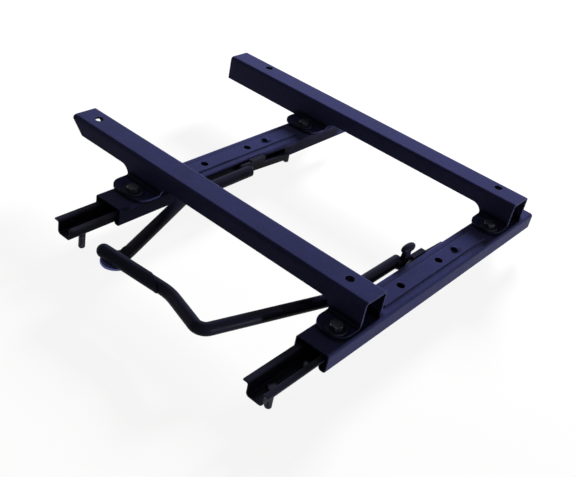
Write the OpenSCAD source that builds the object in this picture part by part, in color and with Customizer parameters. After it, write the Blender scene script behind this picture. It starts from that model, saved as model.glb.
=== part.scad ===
// Seat slide rail set: two ball-bearing slide rails under two folded crossbars,
// with a lifting release bar whose latch combs drop into notches in the lower rails.
// X runs along the crossbars, Y from front to rear, Z up, all in millimetres.
// The origin is the middle of the four seat bolt holes, on the crossbars' tops.

/* [Seat bolt pattern] */
// Distance between the seat bolt holes along a crossbar
seat_pitch_x = 400; // [390:1:410]
// Distance between the front and the rear seat bolt holes
seat_pitch_y = 322; // [316:1:330]
// Seat bolt hole diameter
seat_hole_d = 11; // [9:0.5:13]

/* [Crossbars] */
// Width of a crossbar's top
bar_w = 38; // [36:0.5:42]
// Height of a crossbar above the rails' tops
bar_h = 34.6; // [32:0.2:40]
// Thickness of the crossbar sheet
bar_t = 2.5; // [2:0.1:3]
// Bend radius of the crossbar sheet at its middle line
bar_bend = 3.5; // [2.5:0.1:5]
// Depth of a crossbar's webs between its feet
web_h = 21.3; // [18:0.1:22]
// Radius between a web and a foot
foot_fillet = 13; // [8:0.5:13]
// Front bar's front face to its seat holes
front_hole_inset = 20.3; // [16:0.1:24]
// Rear bar's front face to its seat holes
rear_hole_inset = 23.3; // [16:0.1:25]
// Seat holes to the bars' right ends
right_overhang = 36.6; // [33:0.1:40]
// Seat hole to the front bar's left end
front_left_overhang = 25.8; // [22:0.1:32]
// Seat hole to the rear bar's left end
rear_left_overhang = 57.1; // [50:0.1:64]
// Length of the slanted corner at the front bar's left end
end_slant = 18.5; // [10:0.5:24]
// Depth of web left above that slanted corner
end_h = 4.5; // [4:0.1:8]
// Left feet: rail centre to the foot's outer edge
left_foot_out = 31.5; // [28:0.5:34]
// Feet: rail centre to a foot's inner edge
foot_in = 25; // [24:0.1:27]
// Length of the foot flange in front of the web
flange_d = 33; // [30:0.5:36]
// Corner radius of the foot flange
flange_r = 19.5; // [14:0.5:20]
// Foot bolt's distance in front of the web
bolt_inset = 20; // [17:0.1:20.5]

/* [Upper rails] */
// Distance between the two rails' centres
rail_spacing = 308.3; // [304:0.1:312]
// Right rail's centre from the middle of the seat bolt pattern
rail_right_x = 220.4; // [218:0.1:222]
// Thickness of both rails' sheet
rail_t = 2; // [1.8:0.1:2.2]
// Width of an upper rail
upper_w = 42.3; // [42:0.1:44]
// Height of an upper rail
upper_h = 22.9; // [22:0.1:24]
// Length of an upper rail
upper_len = 441.6; // [436:0.2:450]
// How far an upper rail reaches in front of the front bar
upper_reach = 56; // [50:0.5:60]
// Width of the fold under an upper rail's wall
fold_in = 9.15; // [9:0.05:9.4]
// Bend radius of the rail sheet at its middle line
rail_bend = 2.5; // [2.2:0.1:2.8]
// Width of the raised land on an upper rail's top
land_w = 23; // [20:0.5:25]
// Height of the raised land
land_h = 1.5; // [1:0.1:1.8]
// Front bar's front face to the front end of the land
land_start = 52; // [46:0.5:60]
// Length of the raised land
land_len = 220; // [200:1:224]
// Diameter of the two holes in the land
land_hole_d = 10; // [8:0.5:11]
// Front bar's front face to the first hole in the land
land_hole_start = 99.7; // [90:0.1:105]
// Distance between the two holes in the land
land_hole_pitch = 80; // [70:0.5:90]
// Second hole to the half-pierced stop
stop_back = 37.7; // [30:0.1:42]
// Diameter of the half-pierced stop
stop_d = 12; // [10:0.5:13]

/* [Lower rails] */
// Outer width of a lower rail's channel
lower_w = 21; // [20.4:0.1:21.4]
// Width over a lower rail's lips
lip_w = 33.6; // [33.2:0.1:34]
// How far a lower rail's floor hangs below the upper rail
lower_drop = 1.5; // [1:0.1:3]
// Room between the upper rail's return and the lower rail's lip
lip_gap = 0.6; // [0.5:0.1:0.8]
// Bend radius of a lower rail's bottom corners at its middle line
floor_bend = 3.2; // [3:0.1:3.4]
// How far the left lower rail reaches in front of the upper rail
lower_reach = 61.6; // [56:0.1:68]
// Right lower rail's offset from the left one, in notches
right_offset = -2; // [-3:1:0]
// Distance between a lower rail's floor studs
stud_pitch = 364; // [356:1:372]
// Rail end to its floor stud
stud_inset = 26; // [22:0.5:30]
// Floor stud diameter
stud_d = 8; // [7:0.5:9]
// Length of a floor stud below the floor
stud_len = 24.5; // [20:0.5:30]
// Front end of a lower rail to its stop rivet
rivet_back = 78.6; // [74:0.2:84]

/* [Balls] */
// Ball diameter
ball_d = 5.3; // [4.8:0.1:5.8]
// Play of a ball between lip and upper rail, on each side
ball_gap = 0.05; // [0.03:0.01:0.08]
// Distance between neighbouring balls
ball_pitch = 12; // [10:0.5:14]
// Balls in each group
ball_group = 3; // [2:1:4]
// Length of a ball retainer strip
retainer_len = 200; // [180:2:210]
// Thickness of a retainer strip
retainer_t = 1.2; // [1:0.1:1.6]
// Front bar's front face to the middle of the left retainers
retainer_mid = 121; // [110:1:130]

/* [Latch] */
// Front bar's front face to the latch pivots
pivot_back = 155; // [150:0.5:160]
// Height of the latch pivots above the upper rails' lower edges
pivot_z = 12; // [11:0.1:12.5]
// Pivot pin diameter
pin_d = 8; // [7:0.5:8.5]
// Running clearance of the lever on its pin, on each side
pin_gap = 0.05; // [0.03:0.01:0.08]
// Room between an upper rail's wall and its lever
lever_gap = 4.3; // [4.2:0.1:5]
// Thickness of a latch lever
lever_t = 3; // [2.5:0.1:3.5]
// Distance between notches, and between comb teeth
notch_pitch = 10; // [9:0.5:11]
// Width of a notch
notch_w = 5.4; // [5:0.1:5.8]
// Depth of a notch from the lip's edge
notch_depth = 2.9; // [2.6:0.1:3]
// Notches in each lower rail
notch_count = 16; // [14:1:16]
// Teeth on each comb
tooth_count = 4; // [3:1:5]
// Clearance beside a comb tooth in its notch
tooth_clear = 0.5; // [0.4:0.05:0.7]
// Thickness of a comb
comb_t = 2.5; // [2.2:0.1:2.6]
// Pivot to the first comb tooth
tooth_back = 45; // [43:0.5:48]
// Lift of the release bar that frees the combs, in degrees
lift = 3.6; // [3.4:0.1:3.8]
// Length of lever that is welded to its tube
seam_len = 11; // [10:0.5:14]
// Height of the right lever's lug above the pivot
lug_h = 31; // [28:0.5:34]
// Wire diameter of a return spring
wire_d = 1.2; // [1:0.1:1.2]
// Turns of a return spring
spring_turns = 2; // [1:1:2]

/* [Release bar] */
// Tube diameter of the release bar and its arm
tube_d = 14.5; // [13:0.5:15]
// Tube wall
tube_t = 1.5; // [1.2:0.1:2]
// Height of the release bar above the upper rails' lower edges
bar_z = 16.5; // [16:0.1:17]
// Front bar's front face back to the bends in the arms
arm_bend_back = 31.3; // [26:0.1:36]
// Front bar's front face forward to the bar's front corner
corner_reach = 124.3; // [116:0.1:130]
// Middle of the rails to the bar's front corner
corner_x = 65.8; // [60:0.1:70]
// How far the shallow bend in the bar lies right of the rails' middle
crook_x = 4.8; // [0:0.1:10]
// How far that bend lies behind the front corner
crook_back = 17.2; // [14:0.1:22]
// Middle of the rails to the bar's left end
grip_end_x = 90.3; // [86:0.1:96]
// How far the bar's left end lies behind the front corner
grip_end_back = 9.8; // [6:0.1:14]
// Bend radius of the tubes
tube_bend = 40; // [30:1:50]
// Bend radius of the bar's front corner
corner_bend = 12; // [11:0.5:16]
// Bend radius of the shallow bend in the bar
crook_bend = 60; // [50:5:70]
// Length of the grip sleeve
grip_len = 73; // [60:1:76]
// Wall of the grip sleeve
grip_t = 0.6; // [0.5:0.1:1.2]
// Middle of the rails to the middle of the left arm's flattened end
spade_in = 78.8; // [76:0.1:81]
// How far the middle of that flattened end lies behind the front corner
spade_back = 16.5; // [14:0.1:18]
// Radius of the flattened end of the left arm
spade_r = 16.5; // [13:0.5:19]
// Middle of the rails to the neck behind that flattened end
neck_in = 82.2; // [80:0.1:85]
// Length of that neck
neck_len = 6; // [5:0.5:9]
// Thickness of that flattened end
spade_t = 3; // [2.8:0.1:4]

/* [Fasteners] */
// Foot bolt diameter
bolt_d = 8; // [7:0.5:8.5]
// Clearance of a foot bolt in its hole, on each side
bolt_gap = 0.25; // [0.2:0.05:0.5]
// Width across flats of the foot bolts and nuts
hex_af = 13; // [12:0.5:14]
// Height of a foot bolt's head
head_h = 4.6; // [4:0.1:6]
// Height of a foot bolt's nut
nut_h = 6.4; // [5:0.1:6.8]
// Length of bolt that shows past its nut
bolt_tail = 3; // [2:0.5:4]
// Washer diameter
washer_d = 24; // [20:0.5:26]
// Washer thickness
washer_t = 1.8; // [1.4:0.1:2.4]

/* [Hidden] */
$fn = 48;
// Steps in a drawn bend, and a small reach past a face for clean cuts
bend_steps = 6;
past = 1;
// Fit of a pressed or threaded piece, and room where faces are welded
seat_gap = 0.02;
weld_gap = 0.05;

rail_mid_x = rail_right_x - rail_spacing / 2;
rail_left_x = rail_right_x - rail_spacing;
stack_h = upper_h + bar_h;
front_face_y = -seat_pitch_y / 2 - front_hole_inset;
rear_face_y = seat_pitch_y / 2 - rear_hole_inset;
bar_right_x = seat_pitch_x / 2 + right_overhang;
front_bar_left_x = -seat_pitch_x / 2 - front_left_overhang;
rear_bar_left_x = -seat_pitch_x / 2 - rear_left_overhang;
foot_bolts_y = [front_face_y - bolt_inset, rear_face_y - bolt_inset];

upper_front_y = front_face_y - upper_reach;
upper_inner_z = upper_h - rail_t;
wall_out = upper_w / 2;
wall_in = wall_out - rail_t;
return_out = wall_out - fold_in + rail_t;
land_holes_y = [for (i = [0, 1]) front_face_y + land_hole_start + i * land_hole_pitch];
stop_y = land_holes_y[1] + stop_back;
stop_sink = stop_d * 0.2;

lip_top = upper_inner_z - ball_d - 2 * ball_gap;
lip_z = lip_top - rail_t;
return_h = lip_z - lip_gap;
lower_len = stud_pitch + 2 * stud_inset;
lower_front_y = upper_front_y - lower_reach;
floor_top = rail_t - lower_drop;
right_shift = right_offset * notch_pitch;

ball_u = lower_w / 2 - rail_t / 2 + rail_bend + 0.6;
ball_z = lip_top + ball_gap + ball_d / 2;
ball_pocket = 0.3;
retainer_w = ball_d + 1.4;

pivot_y = front_face_y + pivot_back;
lever_in = wall_out + lever_gap;
lever_out = lever_in + lever_t;
comb_z = lip_z + rail_t / 2 - comb_t / 2 - 0.35;
tooth_w = notch_w - 2 * tooth_clear;
tooth_tip = return_out + 0.3;
tooth_first_y = pivot_y + tooth_back;
tooth_last_y = tooth_first_y + (tooth_count - 1) * notch_pitch;
notch_first_y = tooth_first_y - 6 * notch_pitch;
window_side = 4;
window_z = [6.5, upper_h - 5.9];

collar_r = pin_d / 2 + 2.5;
pin_head_r = collar_r;
boss_r = collar_r + 4;
coil_r = collar_r + 0.5 + wire_d / 2;
coil_pitch = wire_d + 0.05;
coil_u = wall_out + 0.3 + wire_d / 2;
leg_front = 20;
leg_back = tooth_back - 1;
leg_rise = comb_z - leg_back * sin(lift) - wire_d / 2 - 0.2 - (pivot_z - coil_r);

grip_clear = 0.1;
grip_r = tube_d / 2 + grip_clear + grip_t;
tube_u = lever_out + weld_gap + tube_d / 2;
tube_left_x = rail_left_x + tube_u;
tube_right_x = rail_right_x - tube_u;
tube_end_y = pivot_y - pin_head_r - 1;
arm_bend_y = front_face_y + arm_bend_back;
corner_y = front_face_y - corner_reach;
bar_path = [
    [rail_mid_x - grip_end_x, corner_y + grip_end_back, bar_z],
    [rail_mid_x + crook_x, corner_y + crook_back, bar_z],
    [rail_mid_x + corner_x, corner_y, bar_z],
    [tube_right_x, arm_bend_y, bar_z],
    [tube_right_x, tube_end_y, bar_z]
];
bar_bends = [crook_bend, corner_bend, tube_bend];
// The left arm runs beside its lever, then in and down to end under the grip
spade_z = bar_z - grip_r - weld_gap - spade_t / 2;
spade_y = corner_y + spade_back;
spade_x = rail_mid_x - spade_in;
flat_start_y = spade_y + spade_r + neck_len;
flat_z = spade_z + 1.5;
arm_path = [
    [tube_left_x, tube_end_y],
    [tube_left_x, arm_bend_y],
    [rail_mid_x - neck_in, flat_start_y]
];

paint = "#2b2c40";
tube_paint = "#22232f";
fastener = "#a8acb2";

// Vector helpers
function unit(v) = v / norm(v);
function left_of(v) = [-v[1], v[0]];
function turn(a, b) = atan2(a[0] * b[1] - a[1] * b[0], a[0] * b[0] + a[1] * b[1]);
function spin(v, ang) = [v[0] * cos(ang) - v[1] * sin(ang), v[0] * sin(ang) + v[1] * cos(ang)];
function reversed(list) = [for (i = [len(list) - 1 : -1 : 0]) list[i]];

// Outline of a folded sheet from the points of its middle line and a radius for each bend
function bend_points(before, at, after, r, shift) =
    let (d1 = unit(at - before), ang = turn(d1, unit(after - at)), s = sign(ang))
    let (centre = at - d1 * r * tan(abs(ang) / 2) + s * r * left_of(d1))
    [for (k = [0 : bend_steps])
        centre - s * (r - s * shift) * spin(left_of(d1), ang * k / bend_steps)];
function fold_side(p, r, shift) =
    let (last = len(p) - 1)
    concat([p[0] + shift * left_of(unit(p[1] - p[0]))],
        [for (i = [1 : last - 1]) each bend_points(p[i - 1], p[i], p[i + 1], r[i - 1], shift)],
        [p[last] + shift * left_of(unit(p[last] - p[last - 1]))]);
function folded(p, r, t) = concat(fold_side(p, r, t / 2), reversed(fold_side(p, r, -t / 2)));

// A closed surface over a row of rings with as many points each, joined end to end or capped
module skin(rings, loop) {
    n = len(rings[0]);
    m = len(rings);
    sides = [for (i = [0 : loop ? m - 1 : m - 2], k = [0 : n - 1])
        let (a = i * n, b = (i + 1) % m * n, next = (k + 1) % n)
        [a + k, a + next, b + next, b + k]];
    caps = loop ? [] : [[for (k = [n - 1 : -1 : 0]) k], [for (k = [0 : n - 1]) (m - 1) * n + k]];
    polyhedron([for (ring = rings) each ring], concat(sides, caps), convexity = 6);
}

// Frames: a rail's own frame has x from its centre towards the middle of the seat
module at_rail_height() translate([0, 0, -stack_h]) children();
module left_rail_frame() translate([rail_left_x, 0, -stack_h]) children();
module right_rail_frame() translate([rail_right_x, 0, -stack_h]) mirror([1, 0, 0]) children();
module both_rails() {
    left_rail_frame() children();
    right_rail_frame() children();
}

// Extrusions of an outline along Y, along X, and a round bar along X
module along_y(y0, y1) translate([0, y1, 0]) rotate([90, 0, 0]) linear_extrude(y1 - y0) children();
module along_x(x0, x1) translate([x0, 0, 0]) rotate([90, 0, 90]) linear_extrude(x1 - x0) children();
module rod_x(x0, x1, r) translate([x0, 0, 0]) rotate([0, 90, 0]) cylinder(h = x1 - x0, r = r);

// A square with its upper corners rounded, for reliefs and tongues
module round_top(x0, x1, h, r0, r1) {
    translate([x0, -past]) square([x1 - x0, h - max(r0, r1) + past]);
    translate([x0 + r0, 0]) square([x1 - x0 - r0 - r1, h]);
    translate([x0 + r0, h - r0]) circle(r0);
    translate([x1 - r1, h - r1]) circle(r1);
}

module hexagon(af) circle(d = af / cos(30), $fn = 6);

// Crossbar: an inverted channel with webs cut up between the feet and a bolted flange on each foot
module crossbar_section() {
    mid = bar_t / 2;
    path = [[-flange_d, mid], [mid, mid], [mid, bar_h - mid], [bar_w - mid, bar_h - mid], [bar_w - mid, 0]];
    polygon(folded(path, [bar_bend, bar_bend, bar_bend], bar_t));
}

module flange_tongue(x0, x1) {
    mirror([0, 1]) round_top(x0, x1, flange_d, flange_r, flange_r);
}

module flange_trim(x0, x1) {
    linear_extrude(bar_bend + bar_t)
        difference() {
            translate([x0 - past, -flange_d - past]) square([x1 - x0 + 2 * past, flange_d + past - bar_bend]);
            flange_tongue(x0, x1);
        }
}

module crossbar(left_x, left_cut) {
    relief_h = bar_h - web_h;
    left_foot = [rail_left_x - left_foot_out, rail_left_x + foot_in];
    right_foot = [rail_right_x - foot_in, bar_right_x];
    difference() {
        along_x(left_x, bar_right_x) crossbar_section();
        along_y(-flange_d - past, bar_w + past)
            round_top(left_foot[1], right_foot[0], relief_h, foot_fillet, foot_fillet);
        if (left_cut) {
            along_y(-flange_d - past, bar_w + past)
                round_top(left_x - 2 * foot_fillet, left_foot[0], relief_h, foot_fillet, foot_fillet);
            along_y(-flange_d - past, bar_w + past)
                polygon([[left_x - past, -past], [left_x + end_slant, relief_h - past],
                    [left_x + end_slant, relief_h], [left_x, bar_h - end_h], [left_x - past, bar_h - end_h]]);
        } else {
            translate([left_x - past, -flange_d - past, -past])
                cube([left_foot[0] - left_x + past, flange_d + past, bar_t + bar_bend + past]);
        }
        flange_trim(left_foot[0], left_foot[1]);
        flange_trim(right_foot[0], right_foot[1]);
        for (x = [rail_left_x, rail_right_x])
            translate([x, -bolt_inset, -past]) cylinder(h = bar_t + 2 * past, r = bolt_d / 2 + bolt_gap);
        children();
    }
}

module seat_holes(y)
    for (x = [-seat_pitch_x / 2, seat_pitch_x / 2])
        translate([x, y, bar_h - bar_t - past]) cylinder(h = bar_t + 2 * past, d = seat_hole_d);

module front_crossbar() color(paint) {
    translate([0, front_face_y, -bar_h]) crossbar(front_bar_left_x, true) seat_holes(front_hole_inset);
}

module rear_crossbar() color(paint) {
    translate([0, rear_face_y, -bar_h]) {
        crossbar(rear_bar_left_x, false) seat_holes(rear_hole_inset);
        translate([rear_bar_left_x, 0, 0])
            cube([rail_left_x - left_foot_out - rear_bar_left_x, bar_t, bar_t + 2 * bar_bend]);
    }
}

// Upper rail: a wide channel folded under at both walls, with a pressed land along its top
module upper_section() {
    mid = rail_t / 2;
    out = wall_out - mid;
    back = return_out - mid;
    path = [[back, return_h], [back, mid], [out, mid], [out, upper_h - mid],
        [-out, upper_h - mid], [-out, mid], [-back, mid], [-back, return_h]];
    polygon(folded(path, [for (i = [1 : 6]) rail_bend], rail_t));
}

module land_block(shrink) {
    y0 = front_face_y + land_start;
    hull() {
        translate([-land_w / 2 + shrink, y0 + shrink, 0])
            cube([land_w - 2 * shrink, land_len - 2 * shrink, past]);
        translate([-land_w / 2 + shrink + land_h, y0 + shrink + 2 * land_h, 0])
            cube([land_w - 2 * shrink - 2 * land_h, land_len - 2 * shrink - 4 * land_h, past + land_h]);
    }
}

module stop_lance() {
    difference() {
        translate([0, stop_y, upper_h + land_h - stop_sink]) sphere(d = stop_d);
        translate([0, stop_y, upper_h - stop_d]) cylinder(h = stop_d, d = 2 * stop_d);
        translate([0, stop_y - stop_d / 2 - stop_sink, upper_h - stop_d / 2])
            cube([stop_d, stop_d, 2 * stop_d], center = true);
    }
}

module upper_rail() {
    difference() {
        union() {
            along_y(upper_front_y, upper_front_y + upper_len) upper_section();
            translate([0, 0, upper_h - past]) land_block(0);
            stop_lance();
        }
        translate([0, 0, upper_inner_z - past]) land_block(land_h);
        for (y = land_holes_y)
            translate([0, y, upper_inner_z - past]) cylinder(h = rail_t + land_h + 2 * past, d = land_hole_d);
        for (y = foot_bolts_y)
            translate([0, y, upper_inner_z - past]) cylinder(h = rail_t + 2 * past, r = bolt_d / 2 + bolt_gap);
        translate([0, pivot_y, pivot_z]) rod_x(wall_in - past, wall_out + past, pin_d / 2 + seat_gap);
        translate([0, pivot_y - leg_front, pivot_z - coil_r])
            rod_x(wall_in - past, wall_out + past, wire_d / 2 + 0.3);
        translate([wall_in - past, tooth_first_y - tooth_w / 2 - window_side, window_z[0]])
            cube([rail_t + 2 * past, tooth_last_y - tooth_first_y + tooth_w + 2 * window_side,
                window_z[1] - window_z[0]]);
    }
}

module left_upper_rail() color(paint) left_rail_frame() upper_rail();
module right_upper_rail() color(paint) right_rail_frame() upper_rail();

// Lower rail: a channel with outward lips, notched along the inner lip for the comb
module lower_section() {
    mid = rail_t / 2;
    out = lower_w / 2 - mid;
    path = [[-lip_w / 2, lip_z + mid], [-out, lip_z + mid], [-out, mid - lower_drop],
        [out, mid - lower_drop], [out, lip_z + mid], [lip_w / 2, lip_z + mid]];
    polygon(folded(path, [rail_bend, floor_bend, floor_bend, rail_bend], rail_t));
}

module lower_rail() {
    difference() {
        along_y(lower_front_y, lower_front_y + lower_len) lower_section();
        for (i = [0 : notch_count - 1])
            translate([lip_w / 2 - notch_depth, notch_first_y + i * notch_pitch - notch_w / 2, lip_z - past])
                cube([notch_depth + past, notch_w, rail_t + 2 * past]);
        for (i = [0, 1])
            translate([0, lower_front_y + stud_inset + i * stud_pitch, -lower_drop - past])
                cylinder(h = rail_t + 2 * past, r = stud_knurl_r + seat_gap);
        translate([0, lower_front_y + rivet_back, -lower_drop - past])
            cylinder(h = rail_t + 2 * past, r = rivet_r + seat_gap);
    }
}

module right_lower_frame() right_rail_frame() translate([0, right_shift, 0]) children();
module left_lower_rail() color(paint) left_rail_frame() lower_rail();
module right_lower_rail() color(paint) right_lower_frame() lower_rail();

// Floor studs, clinched through the lower rail's floor
stud_head_r = stud_d / 2 + 1.8;
stud_head_h = 2.6;
stud_chamfer = 1.2;
stud_knurl_r = stud_d / 2 + 0.5;
module floor_studs() {
    r = stud_d / 2;
    bottom = -lower_drop - stud_len;
    for (i = [0, 1])
        translate([0, lower_front_y + stud_inset + i * stud_pitch, 0])
            rotate_extrude()
                polygon([[0, bottom], [r - stud_chamfer, bottom], [r, bottom + stud_chamfer], [r, -lower_drop],
                    [stud_knurl_r, -lower_drop], [stud_knurl_r, floor_top], [stud_head_r, floor_top],
                    [stud_head_r, floor_top + stud_head_h / 2], [stud_head_r - 1, floor_top + stud_head_h],
                    [0, floor_top + stud_head_h]]);
}

module left_floor_studs() color(fastener) left_rail_frame() floor_studs();
module right_floor_studs() color(fastener) right_lower_frame() floor_studs();

// Stop rivet in the lower rail's floor, with a domed head
rivet_r = 3;
rivet_head_r = 5.5;
rivet_head_h = 3.6;
module stop_rivet() {
    dome_r = (rivet_head_r * rivet_head_r + rivet_head_h * rivet_head_h) / (2 * rivet_head_h);
    translate([0, lower_front_y + rivet_back, 0]) {
        translate([0, 0, -lower_drop]) cylinder(h = rail_t, r = rivet_r);
        intersection() {
            translate([0, 0, floor_top + rivet_head_h - dome_r]) sphere(dome_r);
            translate([0, 0, floor_top]) cylinder(h = rivet_head_h, r = rivet_head_r);
        }
    }
}

module left_stop_rivet() color(fastener) left_rail_frame() stop_rivet();
module right_stop_rivet() color(fastener) right_lower_frame() stop_rivet();

// Ball strips: two groups of balls in a flat retainer above each lip
ball_ys = [for (e = [-1, 1], i = [0 : ball_group - 1])
    front_face_y + retainer_mid + e * (retainer_len / 2 - 8 - i * ball_pitch)];

module balls() {
    for (side = [-1, 1], y = ball_ys) translate([side * ball_u, y, ball_z]) sphere(d = ball_d);
}

module ball_retainers() {
    for (side = [-1, 1])
        difference() {
            translate([side * ball_u - retainer_w / 2, front_face_y + retainer_mid - retainer_len / 2,
                ball_z - retainer_t / 2])
                cube([retainer_w, retainer_len, retainer_t]);
            for (y = ball_ys)
                translate([side * ball_u, y, ball_z - retainer_t])
                    cylinder(h = 2 * retainer_t, r = ball_d / 2 + ball_pocket);
        }
}

module right_ball_frame() right_rail_frame() translate([0, right_shift / 2, 0]) children();
module left_ball_retainers() color("#d8d2bd") left_rail_frame() ball_retainers();
module right_ball_retainers() color("#d8d2bd") right_ball_frame() ball_retainers();
module left_balls() color("silver") left_rail_frame() balls();
module right_balls() color("silver") right_ball_frame() balls();

// Latch pivot: a shouldered pin riveted through the upper rail's inner wall
module pivot_pin() {
    flush_t = 1.2;
    translate([0, pivot_y, pivot_z]) {
        rod_x(wall_in - flush_t, wall_in, pin_d / 2 + 2);
        rod_x(wall_in, lever_out + weld_gap, pin_d / 2);
        rod_x(wall_out, lever_in - 2 * weld_gap, collar_r);
        translate([lever_out + weld_gap, 0, 0]) rotate([0, 90, 0])
            rotate_extrude()
                polygon([[0, 0], [pin_head_r, 0], [pin_head_r, 1.6], [pin_head_r - 1.2, 2.8], [0, 3.2]]);
    }
}

module left_pivot_pin() color(fastener) left_rail_frame() pivot_pin();
module right_pivot_pin() color(fastener) right_rail_frame() pivot_pin();

// Latch lever, drawn lifted: a plate along the rail with a comb through its window and a tab on top
comb_end = 7;
tail_z = [pivot_z - 4, comb_z + comb_t + 0.8];
nose_y = tube_end_y - seam_len;
nose_half = 6;
tab_y = [5, 31];
tab_t = 2.5;
tab_gap = 0.45;

module lever_outline() {
    tail_y = tooth_last_y + comb_end;
    translate([pivot_y, pivot_z]) circle(boss_r);
    translate([pivot_y, pivot_z]) rotate(-lift)
        translate([0, tail_z[0] - pivot_z]) square([tail_y - pivot_y, tail_z[1] - tail_z[0]]);
    translate([nose_y + nose_half, bar_z]) circle(nose_half);
    translate([nose_y + nose_half, bar_z - nose_half]) square([pivot_y - nose_y - nose_half, 2 * nose_half]);
    translate([pivot_y + tab_y[0], pivot_z]) square([tab_y[1] - tab_y[0], upper_h - pivot_z]);
}

module released() {
    translate([0, pivot_y, pivot_z]) rotate([-lift, 0, 0]) translate([0, -pivot_y, -pivot_z]) children();
}

module comb() {
    comb_out = wall_out + 1;
    translate([comb_out, tooth_first_y - comb_end, comb_z])
        cube([lever_in + lever_t / 2 - comb_out, tooth_last_y - tooth_first_y + 2 * comb_end, comb_t]);
    for (i = [0 : tooth_count - 1])
        translate([tooth_tip, tooth_first_y + i * notch_pitch - tooth_w / 2, comb_z])
            cube([comb_out + past - tooth_tip, tooth_w, comb_t]);
}

module latch_lever() {
    difference() {
        union() {
            along_x(lever_in, lever_out) lever_outline();
            released() comb();
            translate([wall_out + tab_gap, pivot_y + tab_y[0], upper_h - tab_t])
                cube([lever_in - wall_out - tab_gap, tab_y[1] - tab_y[0], tab_t]);
            children();
        }
        translate([0, pivot_y, pivot_z]) rod_x(lever_in - past, lever_out + past, pin_d / 2 + pin_gap);
    }
}

// Lug on the right lever: a stout neck with a rounded head
lug_ahead = 3;
lug_neck = [7, 8.5];
lug_head = [9, 17, 8];
lug_round = 3.5;
module lug_side(w, h) {
    square([w, h - 2 * lug_round], center = true);
    square([w - 2 * lug_round, h], center = true);
    for (sx = [-1, 1], sy = [-1, 1])
        translate([sx * (w / 2 - lug_round), sy * (h / 2 - lug_round)]) circle(lug_round);
}

module lug() {
    neck_z = pivot_z + pin_head_r + 1.5;
    head_z = pivot_z + lug_h - lug_head[2] / 2;
    translate([lever_in + lug_head[0] / 2, pivot_y - lug_ahead, 0]) {
        translate([-lug_neck[0] / 2, -lug_neck[1] / 2, neck_z])
            cube([lug_neck[0], lug_neck[1], head_z - neck_z]);
        translate([0, 0, head_z]) intersection() {
            along_x(-lug_head[0] / 2, lug_head[0] / 2) lug_side(lug_head[1], lug_head[2]);
            along_y(-lug_head[1] / 2, lug_head[1] / 2) lug_side(lug_head[0], lug_head[2]);
            linear_extrude(lug_head[2], center = true) lug_side(lug_head[0], lug_head[1]);
        }
    }
}

module left_latch_lever() color(tube_paint) left_rail_frame() latch_lever();
module right_latch_lever() color(tube_paint) right_rail_frame() latch_lever() lug();

// Return spring: a coil round the pivot's collar, one leg in the rail's wall, one under the comb
coil_steps = 18;
wire_sides = 8;
function coil_point(i) =
    let (a = -90 + 360 * i / coil_steps)
    [coil_u + coil_pitch * i / coil_steps, pivot_y + coil_r * cos(a), pivot_z + coil_r * sin(a)];
spring_path = concat(
    [[coil_u, pivot_y - leg_front, pivot_z - coil_r], [coil_u, pivot_y - leg_front / 2, pivot_z - coil_r]],
    [for (i = [0 : coil_steps * spring_turns]) coil_point(i)],
    [for (f = [0.3, 1])
        [coil_u + coil_pitch * spring_turns, pivot_y + f * leg_back, pivot_z - coil_r + f * leg_rise]]);

function wire_ring(i) =
    let (p = spring_path, last = len(p) - 1)
    let (along = unit(p[min(i + 1, last)] - p[max(i - 1, 0)]))
    let (across = unit(cross(along, [1, 0, 0])), third = cross(across, along))
    [for (k = [0 : wire_sides - 1])
        p[i] + wire_d / 2 * (cos(360 * k / wire_sides) * across + sin(360 * k / wire_sides) * third)];

module return_spring() {
    skin([for (i = [0 : len(spring_path) - 1]) wire_ring(i)], false);
    translate([0, pivot_y - leg_front, pivot_z - coil_r]) rod_x(wall_in, coil_u + wire_d / 2, wire_d / 2);
}

module left_return_spring() color("#6f7277") left_rail_frame() return_spring();
module right_return_spring() color("#6f7277") right_rail_frame() return_spring();

// Foot bolts with washers above the flanges and nuts inside the upper rails
module at_foot_bolts() both_rails() for (y = foot_bolts_y) translate([0, y, 0]) children();
washer_z = upper_h + bar_t;
head_z = washer_z + washer_t;

module crossbar_bolts() color(fastener) at_foot_bolts() {
    tail = upper_inner_z - nut_h - bolt_tail;
    translate([0, 0, tail]) cylinder(h = head_z - tail, d = bolt_d);
    intersection() {
        translate([0, 0, head_z]) linear_extrude(head_h) hexagon(hex_af);
        translate([0, 0, head_z]) cylinder(h = head_h, r1 = hex_af / 2 + 3.5, r2 = hex_af / 2);
    }
}

module crossbar_washers() color(paint) at_foot_bolts() {
    translate([0, 0, washer_z]) difference() {
        cylinder(h = washer_t, d = washer_d);
        translate([0, 0, -past]) cylinder(h = washer_t + 2 * past, r = bolt_d / 2 + bolt_gap);
    }
}

module crossbar_nuts() color(fastener) at_foot_bolts() {
    translate([0, 0, upper_inner_z - nut_h]) difference() {
        linear_extrude(nut_h) rotate(30) hexagon(hex_af);
        translate([0, 0, -past]) cylinder(h = nut_h + 2 * past, r = bolt_d / 2 + seat_gap);
    }
}

// Tubes: rings along a middle line, bent in plan
tube_sides = 24;
function plan_line(p, r) = fold_side([for (q = p) [q[0], q[1]]], r, 0);
function tube_ring(c, along, w, h) =
    let (across = unit(cross(along, [0, 0, 1])), third = cross(across, along))
    [for (k = [0 : tube_sides - 1])
        c + w * cos(360 * k / tube_sides) * across + h * sin(360 * k / tube_sides) * third];
function tube_rings(line, r) =
    let (last = len(line) - 1)
    [for (i = [0 : last]) tube_ring(line[i], unit(line[min(i + 1, last)] - line[max(i - 1, 0)]), r, r)];

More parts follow.
